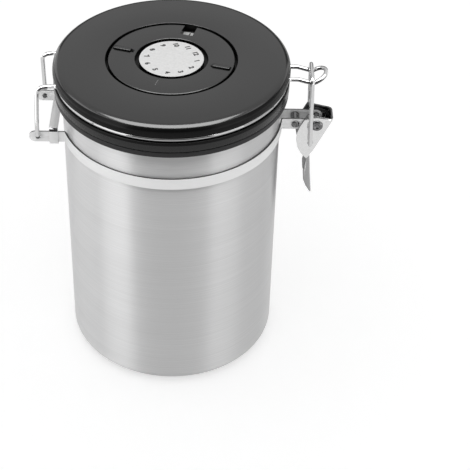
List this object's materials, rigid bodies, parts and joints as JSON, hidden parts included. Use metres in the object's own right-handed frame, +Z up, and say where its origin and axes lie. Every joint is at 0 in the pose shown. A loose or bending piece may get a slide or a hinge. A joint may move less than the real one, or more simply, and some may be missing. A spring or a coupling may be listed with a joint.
{
  "type": "coffee canister",
  "caption": "Round steel food canister with a black wire-hinged lid, date dials, a one-way valve and an over-centre lever latch.",
  "frame": {"origin": "centre of the canister's base, on the plane it stands on", "axes": "+Z up along the canister's axis, +X towards the latch and -X towards the hinge"},
  "size_m": [0.1596, 0.1236, 0.1794],
  "materials": {
    "body_steel": "brushed round the body",
    "strap_steel": "polished",
    "rivet_steel": "polished",
    "lever_steel": "polished",
    "wire_steel": "bright drawn wire",
    "lid_black": "glossy black",
    "plug_black": "satin black",
    "gasket_rubber": "matte dark rubber",
    "disc_black": "satin black",
    "dial_white": "satin white",
    "plate_white": "satin white",
    "valve_black": "satin black",
    "flap_silicone": "translucent white silicone"
  },
  "bodies": {
    "canister": {"canister_body": "body_steel", "neck_strap_front": "strap_steel", "neck_strap_rear": "strap_steel", "hinge_clip": "strap_steel", "strap_rivet": "rivet_steel", "strap_spacer": "rivet_steel", "lever_rivet": "rivet_steel"},
    "lid": {"lid_cover": "lid_black", "lid_plug": "plug_black", "lid_gasket": "gasket_rubber", "lid_wire": "wire_steel", "day_plate": "plate_white", "valve_body": "valve_black", "valve_grille": "valve_black"},
    "date_disc": {"date_disc": "disc_black"},
    "month_dial": {"month_dial": "dial_white"},
    "valve_flap": {"valve_flap": "flap_silicone"},
    "latch_lever": {"latch_lever": "lever_steel"},
    "latch_bail": {"latch_bail": "wire_steel"}
  },
  "joints": [
    {"name": "lid_hinge", "type": "hinge", "parent": "canister", "child": "lid", "pos_m": [-0.0695, 0, 0.1413], "axis": [0, -1, 0], "range_deg": [0, 200]},
    {"name": "date_disc_turn", "type": "hinge", "parent": "lid", "child": "date_disc", "pos_m": [0, 0, 0.177], "axis": [0, 0, 1], "continuous": true},
    {"name": "month_dial_turn", "type": "hinge", "parent": "lid", "child": "month_dial", "pos_m": [0, 0, 0.177], "axis": [0, 0, 1], "continuous": true},
    {"name": "valve_lift", "type": "slide", "parent": "lid", "child": "valve_flap", "axis": [0, 0, 1], "range_m": [0, 0.0006], "stiffness_N_per_m": 20},
    {"name": "lever_pivot", "type": "hinge", "parent": "canister", "child": "latch_lever", "pos_m": [0.077, 0, 0.1413], "axis": [0, -1, 0], "range_deg": [0, 120]},
    {"name": "bail_pivot", "type": "hinge", "parent": "latch_lever", "child": "latch_bail", "pos_m": [0.07395, 0, 0.12995], "axis": [0, -1, 0], "range_deg": [-90, 0]}
  ],
  "couplings": [
    {"joint": "bail_pivot", "follows": "lever_pivot", "ratio": -0.73}
  ]
}
